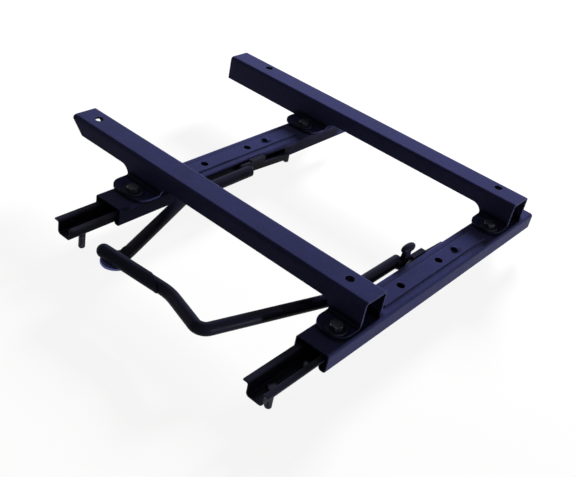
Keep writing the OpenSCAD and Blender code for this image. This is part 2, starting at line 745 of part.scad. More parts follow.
// Release bar: one tube bent in a level plane
function level_line(p, r) = [for (q = plan_line(p, r)) [q[0], q[1], bar_z]];
module release_bar() color(tube_paint) at_rail_height() {
    line = level_line(bar_path, bar_bends);
    skin(concat(tube_rings(line, tube_d / 2), reversed(tube_rings(line, tube_d / 2 - tube_t))), true);
}

// Grip: a moulded sleeve with a closed round end, pushed over the bar's left end
dome_steps = 6;
module handle_grip() color("#15191c") at_rail_height() {
    d1 = unit(bar_path[1] - bar_path[0]);
    end = bar_path[0] - d1 * grip_clear;
    line = [end, end + d1 * grip_len];
    dome = [for (i = [dome_steps - 1 : -1 : 1])
        let (a = 90 * i / dome_steps)
        tube_ring(end - d1 * grip_r * sin(a), d1, grip_r * cos(a), grip_r * cos(a))];
    skin(concat(dome, tube_rings(line, grip_r), reversed(tube_rings(line, tube_d / 2 + grip_clear))), false);
}

// Left arm: a tube that drops to the front, flattened at its end and welded under the grip
flat_steps = 4;
flat_w = tube_d * 0.8;
function arm_z(y) = bar_z - max(0, arm_bend_y - y) / (arm_bend_y - flat_start_y) * (bar_z - flat_z);
module left_arm() color(tube_paint) at_rail_height() {
    line = [for (q = plan_line(arm_path, [tube_bend])) [q[0], q[1], arm_z(q[1])]];
    far = line[len(line) - 1];
    tip = [spade_x, spade_y + spade_r / 2, spade_z];
    flattened = [for (i = [1 : flat_steps])
        let (f = i / flat_steps)
        tube_ring(far + f * (tip - far), unit(tip - far),
            tube_d / 2 + f * (flat_w - tube_d / 2), tube_d / 2 + f * (spade_t * 0.4 - tube_d / 2))];
    inner = reversed(tube_rings(line, tube_d / 2 - tube_t));
    skin(concat(inner, tube_rings(line, tube_d / 2), flattened), false);
    translate([spade_x, spade_y, spade_z - spade_t / 2]) cylinder(h = spade_t, r = spade_r);
}

front_crossbar();
rear_crossbar();
left_upper_rail();
right_upper_rail();
crossbar_bolts();
crossbar_washers();
crossbar_nuts();
left_pivot_pin();
right_pivot_pin();
left_return_spring();
right_return_spring();
left_lower_rail();
right_lower_rail();
left_floor_studs();
right_floor_studs();
left_stop_rivet();
right_stop_rivet();
left_ball_retainers();
right_ball_retainers();
left_balls();
right_balls();
release_bar();
handle_grip();
left_arm();
left_latch_lever();
right_latch_lever();
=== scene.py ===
"""Dresses the seat slide rail: painted pressings, tube handle, fasteners and studio."""
import logging
import math
from dataclasses import dataclass
from enum import Enum
from typing import Any, Sequence

import bmesh
import bpy
from mathutils import Matrix, Vector


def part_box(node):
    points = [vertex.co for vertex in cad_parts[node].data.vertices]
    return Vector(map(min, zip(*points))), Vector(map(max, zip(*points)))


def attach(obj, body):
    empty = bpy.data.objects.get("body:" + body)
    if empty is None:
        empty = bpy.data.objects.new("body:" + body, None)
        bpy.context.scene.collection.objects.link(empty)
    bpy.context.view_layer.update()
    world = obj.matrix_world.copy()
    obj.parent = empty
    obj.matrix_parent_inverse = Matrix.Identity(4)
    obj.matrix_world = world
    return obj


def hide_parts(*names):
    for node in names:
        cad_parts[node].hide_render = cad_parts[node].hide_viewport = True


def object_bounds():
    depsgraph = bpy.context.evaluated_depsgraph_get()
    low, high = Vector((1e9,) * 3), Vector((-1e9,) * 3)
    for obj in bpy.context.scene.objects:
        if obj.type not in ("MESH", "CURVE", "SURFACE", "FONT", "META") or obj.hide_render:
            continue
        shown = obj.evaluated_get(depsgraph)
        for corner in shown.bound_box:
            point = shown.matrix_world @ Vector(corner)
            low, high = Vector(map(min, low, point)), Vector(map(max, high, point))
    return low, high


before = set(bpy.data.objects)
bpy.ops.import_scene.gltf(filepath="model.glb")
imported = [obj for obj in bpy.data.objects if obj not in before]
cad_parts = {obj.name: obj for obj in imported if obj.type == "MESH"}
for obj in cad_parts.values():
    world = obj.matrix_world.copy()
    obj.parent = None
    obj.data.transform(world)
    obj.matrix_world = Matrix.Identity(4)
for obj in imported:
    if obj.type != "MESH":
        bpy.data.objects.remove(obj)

log = logging.getLogger("seat_slide_rail")
MM = 0.001
CAD_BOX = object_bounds()
Point = tuple[float, float, float]
Shell = tuple[list[Vector], list[list[int]]]
Socket = bpy.types.NodeSocket
UP = Vector((0, 0, 1))
REAR = Vector((0, 1, 0))
# Points nearer than this are one point
SAME_POINT = 0.001 * MM
# Edges that turn more than this, in degrees, are broken
EDGE_TURN = 40.0
# Sockets of a node that mixes colours: the share, both colours and the output
SHARE, FIRST, SECOND, MIXED = 0, 6, 7, 2


class Body(Enum):
    """The CAD bodies that added pieces ride on."""

    LEFT_LOWER = "left_lower"
    RIGHT_LOWER = "right_lower"
    HANDLE = "release_handle"


class Slot(Enum):
    """The record's material slots; no piece here is given one."""

    TUBE = "tube_paint"
    GRIP = "grip"
    FASTENER = "fastener_steel"


def linear(hex_colour: str) -> tuple[float, float, float, float]:
    """Turns an sRGB hex colour into linear RGBA.

    Args:
        hex_colour: Colour as "#rrggbb".

    Returns:
        Linear red, green, blue and an alpha of 1.
    """
    parts = [int(hex_colour[i:i + 2], 16) / 255 for i in (1, 3, 5)]
    red, green, blue = [p / 12.92 if p <= 0.04045 else ((p + 0.055) / 1.055) ** 2.4 for p in parts]
    return red, green, blue, 1.0


def per_mm(size_mm: float) -> float:
    """Gives the texture scale whose pattern repeats about every size_mm millimetres."""
    return 1 / (size_mm * MM)


def add_node(tree: bpy.types.NodeTree, kind: str, inputs: dict[str | int, Any] | None = None,
             **settings: Any) -> bpy.types.Node:
    """Adds one shader node with its settings and links.

    Args:
        tree: Node tree that takes the node.
        kind: Node type without its "ShaderNode" prefix.
        inputs: Input name or index to the output socket that feeds it, or to its value.
        settings: Node attributes, or values of inputs, named with underscores for spaces.

    Returns:
        The new node.
    """
    node = tree.nodes.new("ShaderNode" + kind)
    for key, value in settings.items():
        if hasattr(node, key):
            setattr(node, key, value)
        else:
            node.inputs[key.replace("_", " ")].default_value = value
    for key, value in (inputs or {}).items():
        if isinstance(value, Socket):
            tree.links.new(value, node.inputs[key])
        else:
            node.inputs[key].default_value = value
    return node


@dataclass(frozen=True)
class Finish:
    """A surface finish made of shader nodes.

    The colour wanders between two near tones, the roughness is uneven and a fine bump breaks the gloss. A finish with a
    worn tone has scratches and rubbed edges in it, and one with a crease shade tone has painted shade in its creases.
    """

    name: str
    colour: str
    second: str
    roughness: tuple[float, float]
    tone_mm: float
    grain_mm: float
    grain_depth_mm: float
    metallic: float = 0.0
    specular: float = 0.5
    worn: str = ""
    wear_mm: float = 0.0
    rub_mm: float = 9.0
    # Turn in degrees and length in millimetres of each set of scratches, and how far the sets lean out of level
    scratch_sets: tuple[tuple[float, float], ...] = ((14.0, 22.0), (67.0, 16.0), (128.0, 30.0))
    scratch_lean: tuple[float, float] = (0.3, 0.2)
    scratch_mm: float = 0.6
    # Tone and reach of the painted shade in creases
    crease_shade: str = ""
    crease_mm: float = 9.0

    def material(self) -> bpy.types.Material:
        """Builds the Blender material once.

        Returns:
            The material.
        """
        known = bpy.data.materials.get(self.name)
        if known:
            return known
        made = bpy.data.materials.new(self.name)
        made.use_nodes = True
        tree = made.node_tree
        tree.nodes.clear()
        place = add_node(tree, "TexCoord").outputs["Object"]
        tone = add_node(tree, "TexNoise", {"Vector": place}, Scale=per_mm(self.tone_mm), Detail=5.0,
                        Roughness=0.6).outputs["Fac"]
        grain = add_node(tree, "TexNoise", {"Vector": place}, Scale=per_mm(self.grain_mm), Detail=3.0)
        paint = add_node(tree, "Mix", {SHARE: tone, FIRST: linear(self.colour), SECOND: linear(self.second)},
                         data_type="RGBA").outputs[MIXED]
        rough = add_node(tree, "MapRange", {"Value": tone}, From_Min=0.3, From_Max=0.7, To_Min=self.roughness[0],
                         To_Max=self.roughness[1])
        bump = add_node(tree, "Bump", {"Height": grain.outputs["Fac"]}, Strength=0.6,
                        Distance=self.grain_depth_mm * MM)
        if self.worn:
            paint = self.wear(tree, place, self.scratches(tree, place, paint))
        # Painted shade: creases and corners near other parts are darkened from ambient occlusion
        if self.crease_shade:
            paint = self.creases(tree, paint)
        shader = add_node(tree, "BsdfPrincipled", {
            "Base Color": paint, "Roughness": rough.outputs[0], "Normal": bump.outputs[0],
            "Specular IOR Level": self.specular}, Metallic=self.metallic)
        add_node(tree, "OutputMaterial", {"Surface": shader.outputs[0]})
        return made

    def scratches(self, tree: bpy.types.NodeTree, place: Socket, paint: Socket) -> Socket:
        """Draws fine handling scratches in a few directions, wider than real so that they show.

        Args:
            tree: Node tree of the material.
            place: Object coordinates.
            paint: Colour of the whole paint.

        Returns:
            The colour socket with scratches.
        """
        wide = self.scratch_mm * MM
        for turn_deg, length_mm in self.scratch_sets:
            lay = add_node(tree, "Mapping", {"Vector": place}, vector_type="TEXTURE",
                           Rotation=(*self.scratch_lean, math.radians(turn_deg)), Scale=(length_mm * MM, wide, wide))
            marks = add_node(tree, "TexNoise", {"Vector": lay.outputs[0]}, Scale=1.0, Detail=1.0)
            fine = add_node(tree, "MapRange", {"Value": marks.outputs["Fac"]}, From_Min=0.70, From_Max=0.80,
                            To_Max=0.5)
            paint = add_node(tree, "Mix", {SHARE: fine.outputs[0], FIRST: paint, SECOND: linear(self.worn)},
                             data_type="RGBA").outputs[MIXED]
        return paint

    def creases(self, tree: bpy.types.NodeTree, paint: Socket) -> Socket:
        """Paints shade into creases and round the bolts: ambient occlusion darkens the paint there.

        Args:
            tree: Node tree of the material.
            paint: Colour of the paint.

        Returns:
            The colour socket with dark creases.
        """
        # Painted shade: the less open the surroundings within crease_mm, the nearer the paint goes to the crease shade
        # tone
        occlusion = add_node(tree, "AmbientOcclusion", samples=8, Distance=self.crease_mm * MM)
        shade_share = add_node(tree, "MapRange", {"Value": occlusion.outputs["AO"]}, From_Min=0.98, From_Max=0.84, To_Max=0.85)
        return add_node(tree, "Mix", {SHARE: shade_share.outputs[0], FIRST: paint, SECOND: linear(self.crease_shade)},
                        data_type="RGBA").outputs[MIXED]

    def wear(self, tree: bpy.types.NodeTree, place: Socket, paint: Socket) -> Socket:
        """Rubs the paint thin along the edges.

        Args:
            tree: Node tree of the material.
            place: Object coordinates.
            paint: Colour of the whole paint.

        Returns:
            The colour socket with worn edges.
        """
        flat = add_node(tree, "NewGeometry").outputs["Normal"]
        rounded = add_node(tree, "Bevel", samples=4, Radius=self.wear_mm * MM)
        facing = add_node(tree, "VectorMath", {0: flat, 1: rounded.outputs[0]}, operation="DOT_PRODUCT")
        edge = add_node(tree, "MapRange", {"Value": facing.outputs["Value"]}, From_Min=0.97, From_Max=0.80)
        rubs = add_node(tree, "TexNoise", {"Vector": place}, Scale=per_mm(self.rub_mm), Detail=6.0, Roughness=0.7)
        patchy = add_node(tree, "MapRange", {"Value": rubs.outputs["Fac"]}, From_Min=0.40, From_Max=0.66)
        amount = add_node(tree, "Math", {0: edge.outputs[0], 1: patchy.outputs[0]}, operation="MULTIPLY")
        return add_node(tree, "Mix", {SHARE: amount.outputs[0], FIRST: paint, SECOND: linear(self.worn)},
                        data_type="RGBA").outputs[MIXED]


# Stoved enamel sprayed on pressed steel: a satin black with an indigo cast and orange peel, rubbed paler on cut edges,
# with painted shade darkening its creases and the corners round the bolts
PRESSING_ENAMEL = Finish("satin_stoved_enamel", "#292b4c", "#363865", (0.36, 0.50), tone_mm=38, grain_mm=2.4,
                         grain_depth_mm=0.06, specular=0.02, worn="#62658a", wear_mm=1.0, crease_shade="#0b0b10")
# Black dip coat on the lower rails: thinner and greyer than the sprayed enamel
RAIL_DIP = Finish("black_dip_coat", "#1b1c29", "#252637", (0.38, 0.52), tone_mm=34, grain_mm=2.0, grain_depth_mm=0.05,
                  specular=0.03, worn="#4c4e64", wear_mm=1.0)
# The same enamel on drawn tube: laid thinner, so darker and smoother
TUBE_ENAMEL = Finish("enamel_on_drawn_tube", "#151522", "#1e1e31", (0.34, 0.46), tone_mm=26, grain_mm=1.8,
                     grain_depth_mm=0.04, specular=0.035, worn="#3a3b4e", wear_mm=0.8)
# Paler, part metallic copy of the tube enamel on the front half of the spade's upper face and rim: painted light that
# stands in for the light the grip's shadow keeps off, and as a part metal it also reflects the room
SPADE_PAINTED_LIGHT = Finish("spade_enamel_painted_lit", "#5e629b", "#6a6eab", (0.40, 0.52), tone_mm=20, grain_mm=0.8,
                      grain_depth_mm=0.02, metallic=0.6, specular=0.03, worn="#7b7ea6", wear_mm=0.6)
# Moulded PVC sleeve: dull black with the fine grain of its mould, drawn coarser than real
GRIP_PVC = Finish("moulded_pvc_sleeve", "#161826", "#1f2132", (0.42, 0.56), tone_mm=14, grain_mm=1.1,
                  grain_depth_mm=0.07, specular=0.03)
# Phosphated and oiled fastener steel: dark grey with an uneven sheen
PHOSPHATED_STEEL = Finish("phosphated_steel", "#181922", "#252630", (0.30, 0.46), tone_mm=6, grain_mm=0.3,
                          grain_depth_mm=0.01, metallic=0.85, worn="#70727e", wear_mm=0.5)
# Patented spring wire: drawn, oiled, dark and smooth
SPRING_WIRE = Finish("drawn_spring_wire", "#50535a", "#62656c", (0.26, 0.36), tone_mm=5, grain_mm=0.2,
                     grain_depth_mm=0.005, metallic=1.0)
# Ground and polished bearing steel: bright, with clear reflections
BALL_STEEL = Finish("polished_bearing_steel", "#b9bcc2", "#c6c9ce", (0.10, 0.16), tone_mm=3, grain_mm=0.4,
                    grain_depth_mm=0.001, metallic=1.0)
# Punched nylon strip: cream, waxy and faintly mottled
RETAINER_NYLON = Finish("punched_nylon_strip", "#cfc8b2", "#ddd6c2", (0.42, 0.52), tone_mm=8, grain_mm=0.5,
                        grain_depth_mm=0.01)


def make_piece(name: str, points: Sequence[Sequence[float]], faces: Sequence[Sequence[int]], finish: Finish,
               smooth_deg: float = 40.0) -> bpy.types.Object:
    """Makes a mesh piece in the row frame.

    Args:
        name: Piece name.
        points: Vertices in metres.
        faces: Vertex indices of each face.
        finish: Finish of the whole piece.
        smooth_deg: Edges turning more than this stay sharp.

    Returns:
        The new object.
    """
    mesh = bpy.data.meshes.new(name)
    mesh.from_pydata([tuple(p) for p in points], [], [tuple(f) for f in faces])
    mesh.validate()
    mesh.shade_smooth()
    mesh.set_sharp_from_angle(angle=math.radians(smooth_deg))
    mesh.materials.append(finish.material())
    made = bpy.data.objects.new(name, mesh)
    bpy.context.scene.collection.objects.link(made)
    return made


def skin(rings: Sequence[Sequence[Vector]], loop: bool) -> Shell:
    """Joins rings of points into a closed surface.

    Args:
        rings: Rings with the same number of points each.
        loop: Joins the last ring to the first; otherwise both ends are capped.

    Returns:
        Points and faces.
    """
    count, size = len(rings), len(rings[0])
    faces = [[i * size + k, i * size + (k + 1) % size, (i + 1) % count * size + (k + 1) % size,
              (i + 1) % count * size + k] for i in range(count if loop else count - 1) for k in range(size)]
    faces = [face[::-1] for face in faces]
    if not loop:
        faces.append(list(range(size)))
        faces.append([(count - 1) * size + k for k in reversed(range(size))])
    return [point for ring in rings for point in ring], faces


def joined(shells: Sequence[Shell]) -> Shell:
    """Puts several shells into one mesh.

    Args:
        shells: Points and faces of each.

    Returns:
        Points and faces of all.
    """
    points: list[Vector] = []
    faces: list[list[int]] = []
    for more, sides in shells:
        faces += [[i + len(points) for i in face] for face in sides]
        points += more
    return points, faces


def ring(centre: Vector, along: Vector, width: float, height: float, sides: int, square: float = 2.0,
         up: Vector = UP) -> list[Vector]:
    """Gives a ring of points round a path, elliptic or with flattened sides.

    Args:
        centre: Middle of the ring.
        along: Direction of the path.
        width: Half width across.
        height: Half height.
        sides: Number of points.
        square: Exponent of the outline, 2 for an ellipse and more for flatter sides.
        up: Reference direction that the ring's height follows, never along the path.

    Returns:
        The points in order.
    """
    across = along.cross(up).normalized()
    third = across.cross(along).normalized()
    points = []
    for k in range(sides):
        c, s = math.cos(2 * math.pi * k / sides), math.sin(2 * math.pi * k / sides)
        points.append(centre + across * width * math.copysign(abs(c) ** (2 / square), c)
                      + third * height * math.copysign(abs(s) ** (2 / square), s))
    return points


def rounded_path(corners: Sequence[Vector], radii: Sequence[float], steps: int) -> list[Vector]:
    """Rounds the inner corners of a path.

    Args:
        corners: Corner points in order.
        radii: Bend radius at each inner corner.
        steps: Steps in each bend.

    Returns:
        Points along the rounded path.
    """
    points = [corners[0]]
    for before, at, after, radius in zip(corners, corners[1:], corners[2:], radii):
        d1, d2 = (at - before).normalized(), (after - at).normalized()
        angle = d1.angle(d2)
        inward = (d2 - d1 * d1.dot(d2)).normalized()
        middle = at - d1 * radius * math.tan(angle / 2) + inward * radius
        points += [middle + radius * (d1 * math.sin(angle * k / steps) - inward * math.cos(angle * k / steps))
                   for k in range(steps + 1)]
    return points + [corners[-1]]


def directions(path: Sequence[Vector]) -> list[Vector]:
    """Gives the direction of a path at each of its points."""
    last = len(path) - 1
    return [(path[min(i + 1, last)] - path[max(i - 1, 0)]).normalized() for i in range(last + 1)]


def path_rings(path: Sequence[Vector], radius: float, sides: int) -> list[list[Vector]]:
    """Gives round rings of one radius along a path that isn't upright.

    Args:
        path: Points of the middle line.
        radius: Radius of every ring.
        sides: Points in a ring.

    Returns:
        The rings.
    """
    return [ring(p, d, radius, radius, sides) for p, d in zip(path, directions(path))]


def turned(centre: Vector, axis: Vector, profile: Sequence[tuple[float, float]], sides: int) -> list[list[Vector]]:
    """Gives the rings of a turned form.

    Args:
        centre: Where the profile's length is 0.
        axis: Direction of the profile's length.
        profile: Length and radius of each ring, in metres.
        sides: Points in a ring.

    Returns:
        The rings.
    """
    upright = abs(axis.z) > 0.9
    up = REAR if upright else UP
    return [ring(centre + axis * length, axis, radius, radius, sides, up=up) for length, radius in profile]


def settle(piece: bpy.types.Object, body: Body) -> None:
    """Lets a piece ride on its body.

    Args:
        piece: The finished piece.
        body: CAD body that carries it.
    """
    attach(piece, body.value)
    log.info("built %s", piece.name)


def break_edges(piece: bpy.types.Object, edge_mm: float) -> None:
    """Rounds the sharp edges of a piece a little.

    Args:
        piece: Added piece or CAD node.
        edge_mm: Width of the broken edges.
    """
    edges = piece.modifiers.new("broken_edges", "BEVEL")
    edges.width = edge_mm * MM
    edges.segments = 2
    edges.limit_method = "ANGLE"
    edges.angle_limit = math.radians(EDGE_TURN)


def dress(node: str, finish: Finish, edge_mm: float) -> None:
    """Gives a CAD node its finish and broken edges.

    Args:
        node: CAD node.
        finish: Finish of the node.
        edge_mm: Width of the broken edges, or 0 for none.
    """
    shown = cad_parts[node]
    shown.data.materials.clear()
    shown.data.materials.append(finish.material())
    weld = shown.modifiers.new("joined_faces", "WELD")
    weld.merge_threshold = SAME_POINT
    if edge_mm:
        break_edges(shown, edge_mm)
    log.info("dressed %s", node)


@dataclass
class Pressings:
    """The painted sheet parts: crossbars, rails, washers and the left lever."""

    sprayed: tuple[str, ...] = ("front_crossbar", "rear_crossbar", "left_upper_rail", "right_upper_rail")
    dipped: tuple[str, ...] = ("left_lower_rail", "right_lower_rail", "crossbar_washers")
    lever: str = "left_latch_lever"
    edge_mm: float = 0.3

    def dress(self) -> None:
        """Paints each pressing."""
        for node in self.sprayed:
            dress(node, PRESSING_ENAMEL, self.edge_mm)
        for node in self.dipped:
            dress(node, RAIL_DIP, self.edge_mm)
        dress(self.lever, TUBE_ENAMEL, self.edge_mm)


@dataclass
class RightLever:
    """The right latch lever with its rounded lug, in millimetres."""

    node: str = "right_latch_lever"
    cut_below_top: float = 19.5
    # Height over the cut, half width, half length, squareness and shift to the rear of each ring
    lug: tuple[tuple[float, float, float, float, float], ...] = (
        (-1.0, 3.8, 5.9, 6.0, 1.7), (3.0, 3.7, 5.8, 5.0, 1.8), (6.4, 3.7, 5.9, 3.8, 2.0), (7.8, 3.9, 6.8, 3.2, 2.3),
        (8.6, 4.5, 9.4, 2.8, 2.5), (9.5, 5.0, 11.4, 2.6, 2.6), (11.0, 5.2, 12.2, 2.5, 2.7), (12.7, 5.0, 11.9, 2.4, 2.8),
        (14.1, 4.3, 10.8, 2.4, 2.9), (15.1, 3.3, 8.8, 2.3, 3.0), (15.8, 2.0, 5.8, 2.2, 3.0), (16.1, 0.8, 2.4, 2.0, 3.0))
    sides: int = 36
    edge_mm: float = 0.3
    smooth_deg: float = 35.0

    def stump(self, middle: Vector) -> Shell:
        """Takes the plain lug off a copy of the lever.

        Args:
            middle: Point on the level cut.

        Returns:
            Points and faces of what is left.
        """
        shape = bmesh.new()
        shape.from_mesh(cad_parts[self.node].data)
        bmesh.ops.remove_doubles(shape, verts=shape.verts, dist=SAME_POINT)
        bmesh.ops.bisect_plane(shape, geom=shape.verts[:] + shape.edges[:] + shape.faces[:], plane_co=middle,
                               plane_no=UP, clear_outer=True)
        bmesh.ops.holes_fill(shape, edges=[edge for edge in shape.edges if edge.is_boundary])
        shape.verts.index_update()
        points = [v.co.copy() for v in shape.verts]
        faces = [[v.index for v in face.verts] for face in shape.faces]
        shape.free()
        return points, faces

    def build(self) -> None:
        """Forges the rounded lug on the lever in place of the plain one."""
        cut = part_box(self.node)[1].z - self.cut_below_top * MM
        heads = [v.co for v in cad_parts[self.node].data.vertices if v.co.z > cut]
        middle = Vector([(min(p[i] for p in heads) + max(p[i] for p in heads)) / 2 for i in (0, 1)] + [cut])
        rings = [ring(middle + Vector((0, shift, height)) * MM, UP, wide * MM, long * MM, self.sides, square, REAR)
                 for height, wide, long, square, shift in self.lug]
        piece = make_piece("right_lever_with_lug", *joined([self.stump(middle), skin(rings, False)]), TUBE_ENAMEL,
                           self.smooth_deg)
        break_edges(piece, self.edge_mm)
        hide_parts(self.node)
        settle(piece, Body.HANDLE)


@dataclass
class SlideParts:
    """Balls, ball strips, stop rivets, pins and springs of both slides, and the crossbars' nuts and bolts."""

    fasteners: tuple[str, ...] = ("crossbar_nuts", "crossbar_bolts")
    edge_mm: float = 0.2

    def dress(self) -> None:
        """Finishes each small part."""
        for side in ("left", "right"):
            dress(side + "_balls", BALL_STEEL, 0)
            dress(side + "_ball_retainers", RETAINER_NYLON, self.edge_mm)
            dress(side + "_stop_rivet", PHOSPHATED_STEEL, self.edge_mm)
            dress(side + "_pivot_pin", PHOSPHATED_STEEL, self.edge_mm)
            dress(side + "_return_spring", SPRING_WIRE, 0)
        for node in self.fasteners:
            dress(node, PHOSPHATED_STEEL, self.edge_mm)


@dataclass
class FloorStuds:
    """The clinched floor studs with their rolled threads, in millimetres."""

    radius: float = 4.0
    root: float = 3.35
    pitch: float = 1.25
    # Steepness of the thread's flanks and width of its flat crests, as shares of half a pitch
    flank: float = 1.35
    crest: float = 0.15
    steps_per_turn: int = 8
    head_r: float = 5.8
    knurl_r: float = 4.5
    length: float = 24.5
    floor_t: float = 2.0
    head_h: float = 2.6
    # Share of the head's height, and how far the head draws in there
    crown: tuple[tuple[float, float], ...] = ((0.5, 0.0), (0.82, 0.35), (1.0, 1.0))
    chamfer: float = 1.2
    plain: float = 2.2
    sides: int = 36
    smooth_deg: float = 50.0

    def thread_ring(self, centre: Vector, height: float, reach: float) -> list[Vector]:
        """Gives one ring of the thread.

        Args:
            centre: Middle of the stud's tip.
            height: Height above the tip, in millimetres.
            reach: How deep the thread is cut here, from 0 to 1.

        Returns:
            The points in order.
        """
        points = []
        for k in range(self.sides):
            turn = k / self.sides
            phase = (height / self.pitch + turn) % 1.0
            groove = min(1.0, max(0.0, abs(2 * phase - 1) * self.flank - self.crest))
            radius = self.radius - (self.radius - self.root) * groove * reach
            angle = 2 * math.pi * turn
            points.append(centre + Vector((-radius * math.cos(angle), radius * math.sin(angle), height)) * MM)
        return points

    def stud(self, centre: Vector) -> list[list[Vector]]:
        """Gives the rings of one stud from its tip to its head.

        Args:
            centre: Middle of the stud's tip.

        Returns:
            The rings.
        """
        top = self.length - self.plain
        steps = int((top - self.chamfer) / (self.pitch / self.steps_per_turn))
        rings = turned(centre, UP, [(0, (self.radius - self.chamfer) * MM)], self.sides)
        for i in range(steps + 1):
            height = self.chamfer + (top - self.chamfer) * i / steps
            rings.append(self.thread_ring(centre, height, min(1.0, (top - height) / self.pitch)))
        seat = self.length + self.floor_t
        upper = [(self.length, self.radius), (self.length, self.knurl_r), (seat, self.knurl_r), (seat, self.head_r)]
        upper += [(seat + self.head_h * share, self.head_r - inward) for share, inward in self.crown]
        return rings + turned(centre, UP, [(h * MM, r * MM) for h, r in upper], self.sides)

    def build(self) -> None:
        """Turns both studs of each lower rail as one piece."""
        for side, body in (("left", Body.LEFT_LOWER), ("right", Body.RIGHT_LOWER)):
            low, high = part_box(side + "_floor_studs")
            middle = (low.x + high.x) / 2
            shells = [skin(self.stud(Vector((middle, y, low.z))), False)
                      for y in (low.y + self.head_r * MM, high.y - self.head_r * MM)]
            piece = make_piece(side + "_threaded_studs", *joined(shells), PHOSPHATED_STEEL, self.smooth_deg)
            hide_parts(side + "_floor_studs")
            settle(piece, body)


@dataclass
class ReleaseHandle:
    """The bent release bar, its grip, its left arm and their welds, in millimetres of the row frame."""

    bar_z: float = -41.0
    corners: tuple[tuple[float, float], ...] = ((-24.05, -295.8), (71.05, -288.4), (132.05, -305.6),
                                                (184.65, -150.0), (184.65, -33.8))
    bends: tuple[float, ...] = (60.0, 12.0, 40.0)
    tube_r: float = 7.25
    tube_wall: float = 1.5
    grip_r: float = 7.95
    grip_clear: float = 0.1
    grip_len: float = 73.0
    grip_slant: float = 1.6
    # Share of the grip's length over which its mouth slants
    slant_share: float = 0.45
    # Height of the rim, and how far behind the mouth it begins, stands full and ends
    rim_h: float = 0.15
    rim_steps: tuple[float, float, float] = (2.6, 2.0, 0.4)
    dome_steps: int = 12
    dome_step_deg: float = 7.0
    arm: tuple[tuple[float, float], ...] = ((-52.15, -33.8), (-52.15, -150.0), (-15.95, -266.6))
    spade: Point = (-12.55, -289.1, -50.5)
    spade_r: float = 16.5
    spade_t: float = 3.0
    neck_z: float = -49.0
    # The tube is flat this share of the spade's radius before its middle, and drawn in by this share there
    flat_by: float = 0.55
    draw_in: float = 0.1
    squareness: float = 6.0
    tip: float = 0.3
    # Length and radius of each ring of the rivet head under the spade
    rivet: tuple[tuple[float, float], ...] = ((-0.3, 5.2), (0.35, 5.2), (0.9, 4.95), (1.5, 4.3), (2.0, 3.2),
                                              (2.3, 1.8), (2.4, 0.3))
    rivet_sides: int = 28
    # Weld beads: radius, length, way into the tube, way from the tube's end, and height over its middle
    bead_r: float = 1.7
    bead_len: float = 9.0
    bead_sink: float = 0.9
    bead_start: float = 0.8
    bead_lift: float = 4.1
    bead_flat: float = 0.85
    # Share of the section left at a bead's ends, and how late it thins towards them
    bead_end: float = 0.05
    bead_fullness: int = 6
    ripple_depth: float = 0.1
    ripple_mm: float = 1.6
    bead_sides: int = 14
    bead_steps_per_mm: int = 5
    sides: int = 40
    steps: int = 16

    def bar_path(self, corners: Sequence[tuple[float, float]], bends: Sequence[float]) -> list[Vector]:
        """Gives a rounded path in the bar's level plane, in metres.

        Args:
            corners: Corner points in plan.
            bends: Bend radii at the inner corners.

        Returns:
            The path's points.
        """
        places = [Vector((x, y, self.bar_z)) * MM for x, y in corners]
        return rounded_path(places, [r * MM for r in bends], self.steps)

    def build_bar(self) -> bpy.types.Object:
        """Bends the release bar's tube, open at both ends.

        Returns:
            The tube.
        """
        path = self.bar_path(self.corners, self.bends)
        outer = path_rings(path, self.tube_r * MM, self.sides)
        inner = path_rings(path, (self.tube_r - self.tube_wall) * MM, self.sides)
        piece = make_piece("release_bar_tube", *skin(outer + inner[::-1], True), TUBE_ENAMEL)
        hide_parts("release_bar")
        return piece

    def build_grip(self) -> bpy.types.Object:
        """Moulds the thin grip sleeve with its closed round end and a slanting mouth.

        Returns:
            The sleeve.
        """
        start, crook = (Vector((x, y, self.bar_z)) * MM for x, y in self.corners[:2])
        along = (crook - start).normalized()
        across = along.cross(UP)
        begin = start - along * self.grip_clear * MM
        radius, bore = self.grip_r * MM, (self.tube_r + self.grip_clear) * MM
        rim = radius + self.rim_h * MM
        dome = [math.radians(self.dome_step_deg * k) for k in range(self.dome_steps, 0, -1)]
        rings = [ring(begin - along * radius * math.sin(a), along, radius * math.cos(a), radius * math.cos(a),
                      self.sides) for a in dome]
        rings.append(ring(begin, along, radius, radius, self.sides))
        mouth = begin + along * self.grip_len * MM
        slanted = self.grip_len * self.slant_share
        rise, full, end = self.rim_steps
        for back, wide in ((slanted, radius), (rise, radius), (full, rim), (end, rim), (0.0, radius), (0.0, bore),
                           (slanted, bore)):
            flat = ring(mouth - along * back * MM, along, wide, wide, self.sides)
            slant = self.grip_slant * max(0.0, 1 - back / slanted)
            rings.append([p + along * (p - mouth).dot(across) * slant for p in flat])
        rings.append(ring(begin, along, bore, bore, self.sides))
        piece = make_piece("grip_sleeve", *skin(rings, False), GRIP_PVC)
        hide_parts("handle_grip")
        return piece

    def build_arm(self) -> bpy.types.Object:
        """Draws the left arm: a tube that drops, flattens and ends in a round spade.

        Returns:
            The arm.
        """
        bend_y, neck_y = self.arm[1][1], self.arm[2][1]
        plan = rounded_path([Vector((x, y, 0)) for x, y in self.arm], [self.bends[2]], self.steps)
        drop = (self.bar_z - self.neck_z) / (bend_y - neck_y)
        path = [Vector((p.x, p.y, self.bar_z - drop * max(0.0, bend_y - p.y))) * MM for p in plan]
        spade = Vector(self.spade) * MM
        outer = path_rings(path, self.tube_r * MM, self.sides)
        inner = path_rings(path, (self.tube_r - self.tube_wall) * MM, self.sides)
        piece = make_piece("left_arm_tube", *skin(inner[::-1] + outer + self.spade_rings(path[-1], spade), False),
                           TUBE_ENAMEL, smooth_deg=50)
        piece.data.materials.append(SPADE_PAINTED_LIGHT.material())
        # Painted light: faces of the spade in front of its middle, unless turned down, take the paler spade enamel
        for face in piece.data.polygons:
            underside = face.normal.z <= -0.5
            face.material_index = int(not underside and face.center.y < spade.y)
        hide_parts("left_arm")
        return piece

